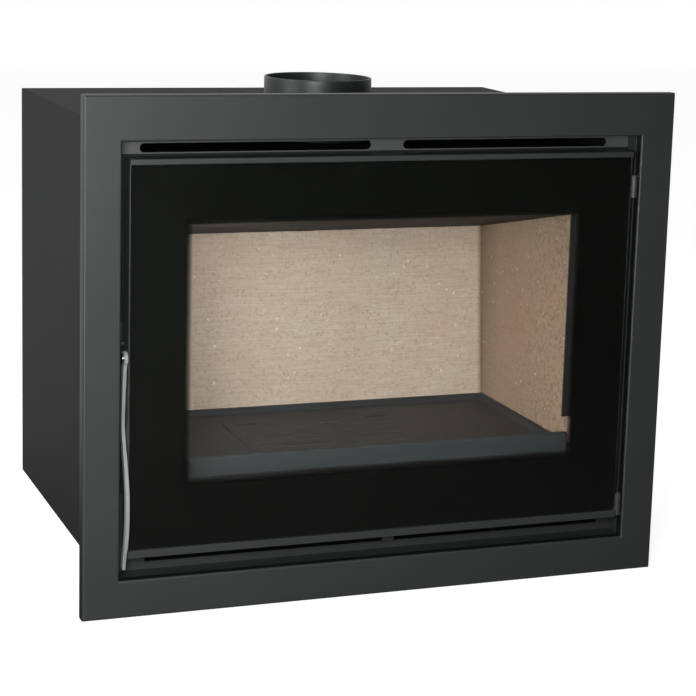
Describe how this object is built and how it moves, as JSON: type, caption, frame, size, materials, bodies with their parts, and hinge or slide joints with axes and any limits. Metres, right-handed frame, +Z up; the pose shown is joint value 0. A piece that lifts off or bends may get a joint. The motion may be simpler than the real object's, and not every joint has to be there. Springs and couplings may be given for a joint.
{
  "type": "fireplace insert",
  "caption": "Wood-burning fireplace insert: flat surround frame, side-hung black-bordered glass door with a curved lever, lined firebox with hearth and baffle, sheet casing, round flue collar.",
  "frame": {"origin": "middle of the footprint, on the floor that the levelling feet stand on", "axes": "+X to the right as seen from the room, +Y into the wall, +Z up"},
  "size_m": [0.8, 0.5712, 0.662],
  "materials": {
    "frame_paint": "satin anthracite stove paint",
    "vent_paint": "satin grey paint",
    "casing_paint": "matt dark grey paint",
    "stove_paint": "matt black heat-resistant paint",
    "cast_hearth": "as cast, matt",
    "vermiculite": "pressed mineral board, matt",
    "bare_steel": "zinc-plated",
    "polished_steel": "polished",
    "stove_glass": "clear ceramic glass with a black border",
    "rope_seal": "braided glass-fibre rope",
    "foot_rubber": "matt"
  },
  "bodies": {
    "root": {"surround_frame": "frame_paint", "throat_left": "frame_paint", "throat_right": "frame_paint", "throat_top": "frame_paint", "throat_bottom": "frame_paint", "front_plate_bottom": "frame_paint", "vent_panel": "vent_paint", "casing_left": "casing_paint", "casing_right": "casing_paint", "casing_top": "casing_paint", "casing_bottom": "casing_paint", "casing_back": "casing_paint", "base_rail_left": "casing_paint", "base_rail_right": "casing_paint", "front_plate_top": "stove_paint", "front_plate_left": "stove_paint", "front_plate_right": "stove_paint", "firebox_wall_left": "stove_paint", "firebox_wall_right": "stove_paint", "firebox_wall_back": "stove_paint", "firebox_floor": "stove_paint", "firebox_roof": "stove_paint", "firebox_stand_left": "stove_paint", "firebox_stand_right": "stove_paint", "rear_air_duct": "stove_paint", "flue_collar": "stove_paint", "air_wash_deflector": "stove_paint", "lining_strip_left": "stove_paint", "lining_strip_right": "stove_paint", "ash_well": "stove_paint", "ash_pan": "stove_paint", "baffle": "stove_paint", "hearth_plate": "cast_hearth", "lining_left": "vermiculite", "lining_right": "vermiculite", "lining_back": "vermiculite", "hinge_bracket_lower": "bare_steel", "hinge_bracket_upper": "bare_steel", "latch_keeper": "bare_steel", "levelling_foot_front_left": "foot_rubber", "levelling_foot_front_right": "foot_rubber", "levelling_foot_rear_left": "foot_rubber", "levelling_foot_rear_right": "foot_rubber"},
    "door": {"door_glass": "stove_glass", "door_rail_top": "frame_paint", "door_rail_bottom": "frame_paint", "door_stile_left": "frame_paint", "door_stile_right": "frame_paint", "door_seal": "rope_seal", "glass_clip_left": "bare_steel", "glass_clip_right": "bare_steel", "door_hinge_lower": "bare_steel", "door_hinge_upper": "bare_steel", "handle_bolt": "polished_steel", "handle_nut": "bare_steel"},
    "handle": {"handle_lever": "frame_paint"},
    "slider": {"air_slider": "bare_steel"},
    "grate": {"grate": "cast_hearth"},
    "retainer": {"log_retainer": "cast_hearth"}
  },
  "joints": [
    {"name": "door_hinge", "type": "hinge", "parent": "root", "child": "door", "pos_m": [0.3473, -0.26862, 0.302], "axis": [0, 0, 1], "range_deg": [0, 100]},
    {"name": "handle_pivot", "type": "hinge", "parent": "door", "child": "handle", "pos_m": [-0.3453, -0.26342, 0.336], "axis": [-1, 0, 0], "range_deg": [0, 45]},
    {"name": "air_slide", "type": "slide", "parent": "root", "child": "slider", "axis": [1, 0, 0], "range_m": [-0.03, 0.03]},
    {"name": "grate_lift", "type": "slide", "parent": "root", "child": "grate", "axis": [0, 0, 1], "range_m": [0, 0.08]},
    {"name": "retainer_lift", "type": "slide", "parent": "root", "child": "retainer", "axis": [0, 0, 1], "range_m": [0, 0.06]}
  ]
}
